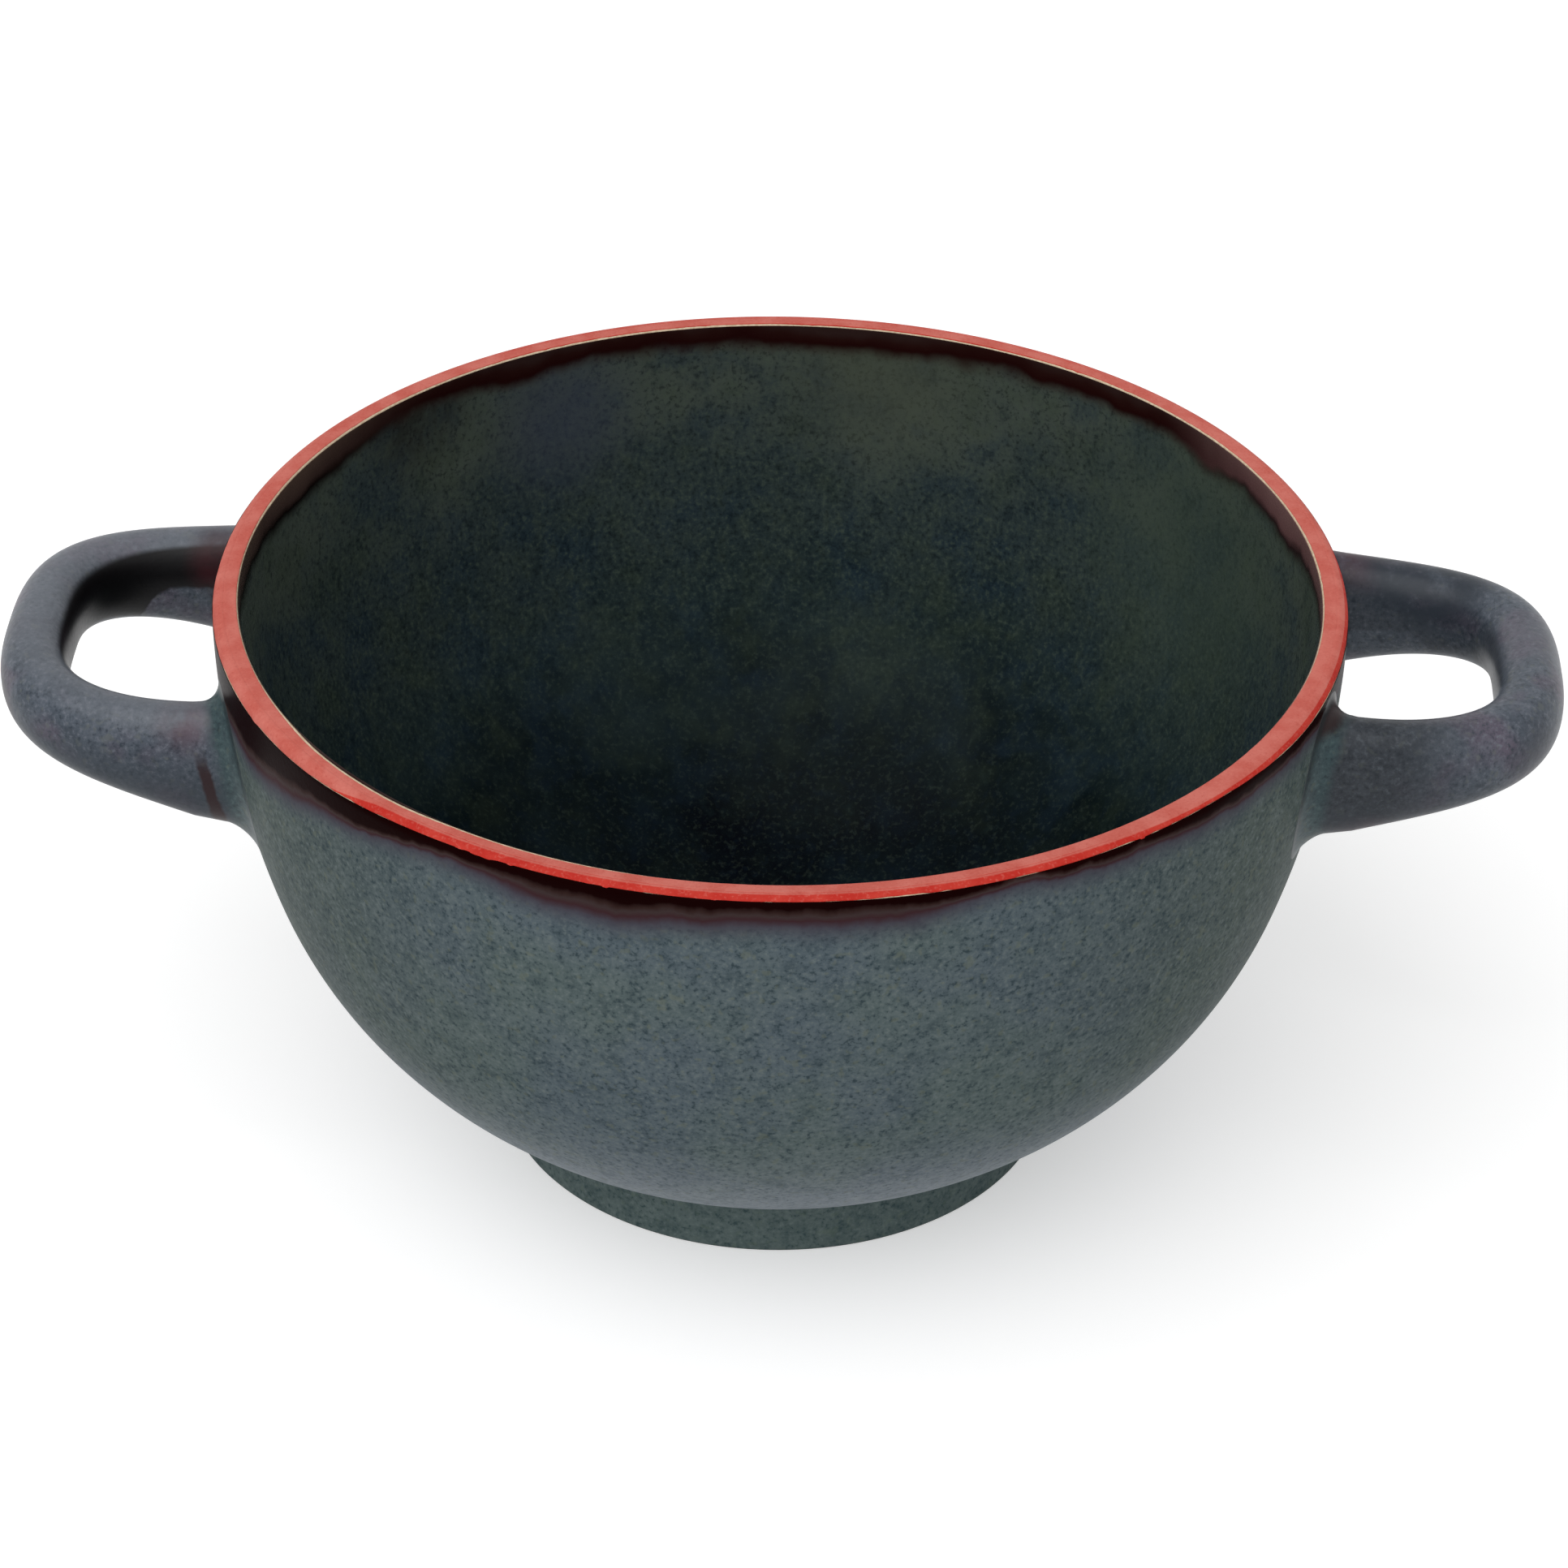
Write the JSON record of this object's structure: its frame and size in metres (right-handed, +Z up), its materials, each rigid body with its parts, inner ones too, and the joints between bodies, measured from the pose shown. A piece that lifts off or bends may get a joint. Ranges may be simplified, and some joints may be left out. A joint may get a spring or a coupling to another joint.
{
  "type": "lug soup bowl",
  "caption": "Round stoneware soup bowl on a turned foot ring, with a loop handle on each side, a matte red rim band and a dark reactive glaze.",
  "frame": {"origin": "on the table under the middle of the foot ring, at the bottom centre of the bounding box", "axes": "+Z up out of the bowl's mouth, +X towards the right handle, +Y away from the viewer of the picture"},
  "size_m": [0.182, 0.1312, 0.0725],
  "materials": {
    "bare_clay": "matte",
    "red_slip": "matte",
    "dark_glaze": "gloss",
    "blue_grey_glaze": "satin",
    "handle_glaze": "satin"
  },
  "bodies": {
    "root": {"bowl_body": "bare_clay", "foot_ring": "bare_clay", "rim_band": "red_slip", "inner_glaze": "dark_glaze", "outer_glaze": "blue_grey_glaze", "left_handle": "handle_glaze", "right_handle": "handle_glaze"}
  },
  "joints": []
}
